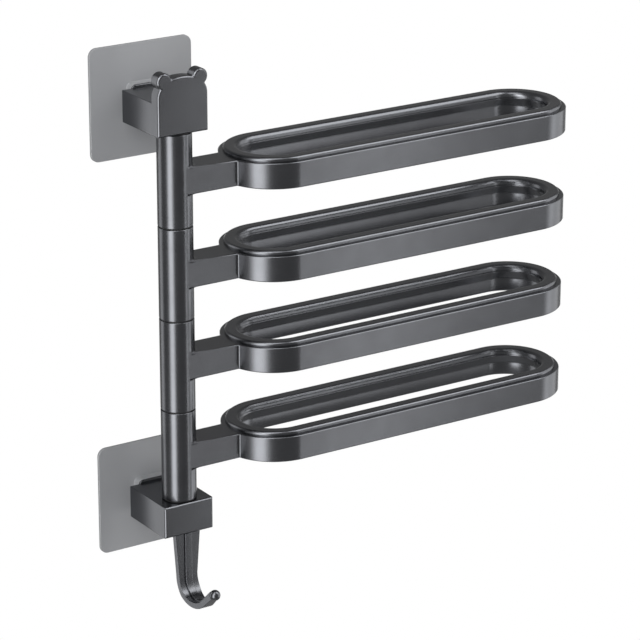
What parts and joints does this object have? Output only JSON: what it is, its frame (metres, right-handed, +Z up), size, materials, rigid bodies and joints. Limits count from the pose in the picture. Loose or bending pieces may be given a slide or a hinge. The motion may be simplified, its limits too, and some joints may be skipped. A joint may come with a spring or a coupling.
{
  "type": "swing arm towel bar",
  "caption": "Wall-mounted towel rack of ring-shaped arms that swing about a vertical pole between two brackets on stick-on plates, with a hook below.",
  "frame": {"origin": "centre of the upper wall plate's back face, on the wall", "axes": "+Z up along the pole, +Y into the wall, +X along the wall towards the arms at rest"},
  "size_m": [0.2719, 0.0721, 0.2953],
  "materials": {
    "gunmetal": "satin gunmetal grey coating",
    "plate_plastic": "light grey plastic with a soft gloss",
    "bright_steel": "bright turned steel",
    "black_nylon": "matt black nylon",
    "pad_foam": "matt white adhesive foam"
  },
  "bodies": {
    "wall_frame": {"upper_adhesive_pad": "pad_foam", "lower_adhesive_pad": "pad_foam", "upper_wall_plate": "plate_plastic", "lower_wall_plate": "plate_plastic", "upper_keeper": "gunmetal", "lower_keeper": "gunmetal", "upper_stud": "bright_steel", "lower_stud": "bright_steel", "upper_bracket": "gunmetal", "lower_bracket": "gunmetal", "pole_shaft": "bright_steel", "shaft_screw": "bright_steel", "thrust_washer_1": "black_nylon", "thrust_washer_2": "black_nylon", "thrust_washer_3": "black_nylon", "thrust_washer_4": "black_nylon", "thrust_washer_5": "black_nylon", "hook": "gunmetal"},
    "arm_1": {"arm_1": "gunmetal", "arm_1_bushes": "black_nylon"},
    "arm_2": {"arm_2": "gunmetal", "arm_2_bushes": "black_nylon"},
    "arm_3": {"arm_3": "gunmetal", "arm_3_bushes": "black_nylon"},
    "arm_4": {"arm_4": "gunmetal", "arm_4_bushes": "black_nylon"}
  },
  "joints": [
    {"name": "arm_1_swing", "type": "hinge", "parent": "wall_frame", "child": "arm_1", "pos_m": [0, -0.034, -0.03425], "axis": [0, 0, 1], "range_deg": [-180, 0]},
    {"name": "arm_2_swing", "type": "hinge", "parent": "wall_frame", "child": "arm_2", "pos_m": [0, -0.034, -0.08425], "axis": [0, 0, 1], "range_deg": [-180, 0]},
    {"name": "arm_3_swing", "type": "hinge", "parent": "wall_frame", "child": "arm_3", "pos_m": [0, -0.034, -0.13425], "axis": [0, 0, 1], "range_deg": [-180, 0]},
    {"name": "arm_4_swing", "type": "hinge", "parent": "wall_frame", "child": "arm_4", "pos_m": [0, -0.034, -0.18425], "axis": [0, 0, 1], "range_deg": [-180, 0]}
  ]
}
